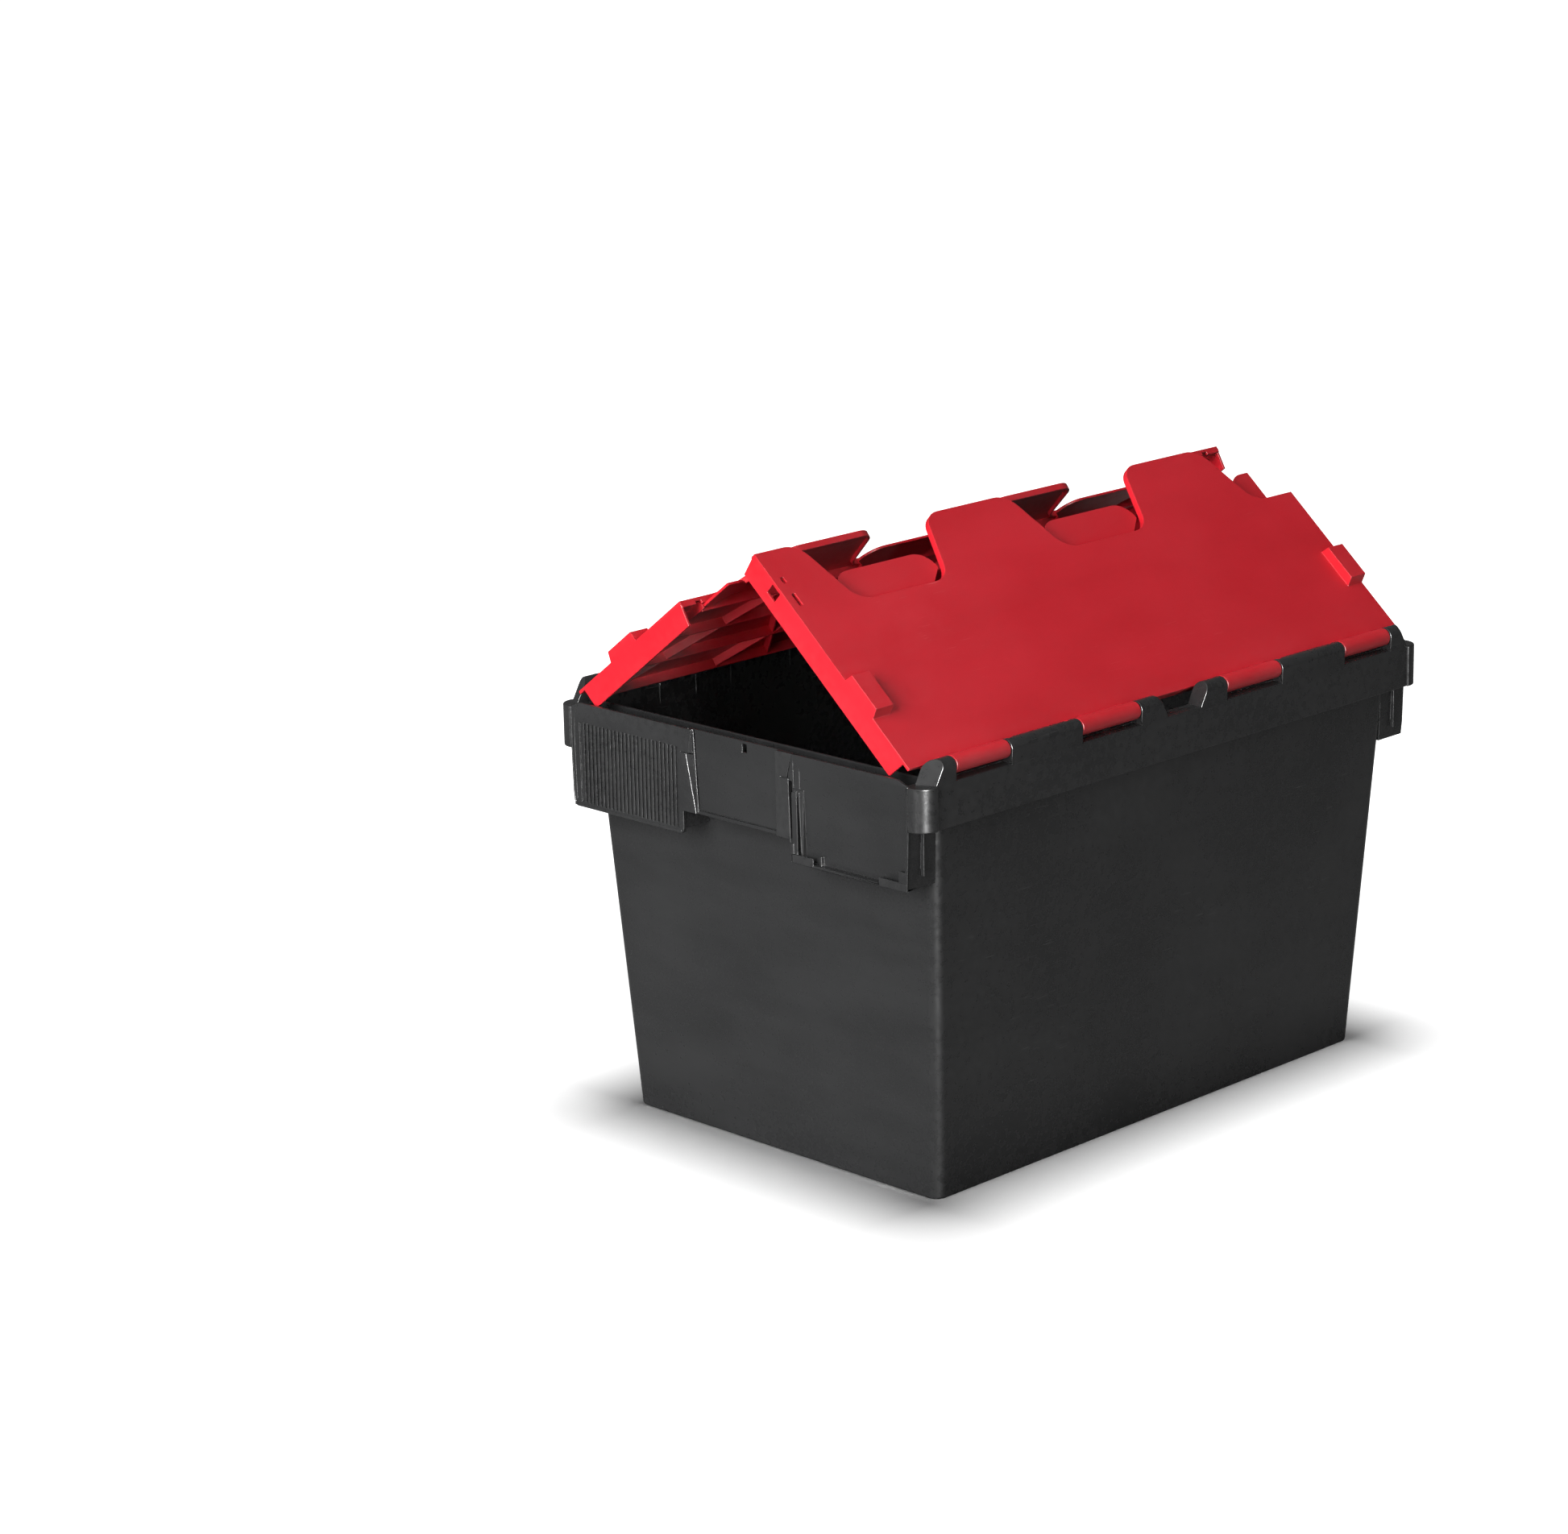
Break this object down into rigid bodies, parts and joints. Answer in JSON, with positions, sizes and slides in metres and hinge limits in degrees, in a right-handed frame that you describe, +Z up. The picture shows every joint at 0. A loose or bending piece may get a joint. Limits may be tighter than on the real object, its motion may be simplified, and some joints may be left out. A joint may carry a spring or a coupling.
{
  "type": "attached lid tote",
  "caption": "Stacking and nesting crate with tapered walls, a deep rim with ribbed hand grips and a label pocket at its ends, and interlocking lids hinged along its long sides, half open.",
  "frame": {"origin": "centre of the underside, on the floor", "axes": "+X along the length, parallel to both hinges; +Y across, from the front lid's hinge to the back lid's; +Z up"},
  "size_m": [0.6, 0.4, 0.4926],
  "materials": {
    "tub_plastic": "fine matte grain, moulded, black",
    "lid_plastic": "fine matte grain, moulded, red",
    "rod_steel": "drawn wire rod, plain"
  },
  "bodies": {
    "tub": {"tub": "tub_plastic", "hinge_rod_front_a": "rod_steel", "hinge_rod_front_b": "rod_steel", "hinge_rod_back_a": "rod_steel", "hinge_rod_back_b": "rod_steel"},
    "lid_front": {"lid_front": "lid_plastic"},
    "lid_back": {"lid_back": "lid_plastic"}
  },
  "joints": [
    {"name": "front_hinge", "type": "hinge", "parent": "tub", "child": "lid_front", "pos_m": [0, -0.191, 0.3522], "axis": [1, 0, 0], "range_deg": [-41.4, 213.6]},
    {"name": "back_hinge", "type": "hinge", "parent": "tub", "child": "lid_back", "pos_m": [0, 0.191, 0.3522], "axis": [-1, 0, 0], "range_deg": [-37.5, 217.5]}
  ]
}
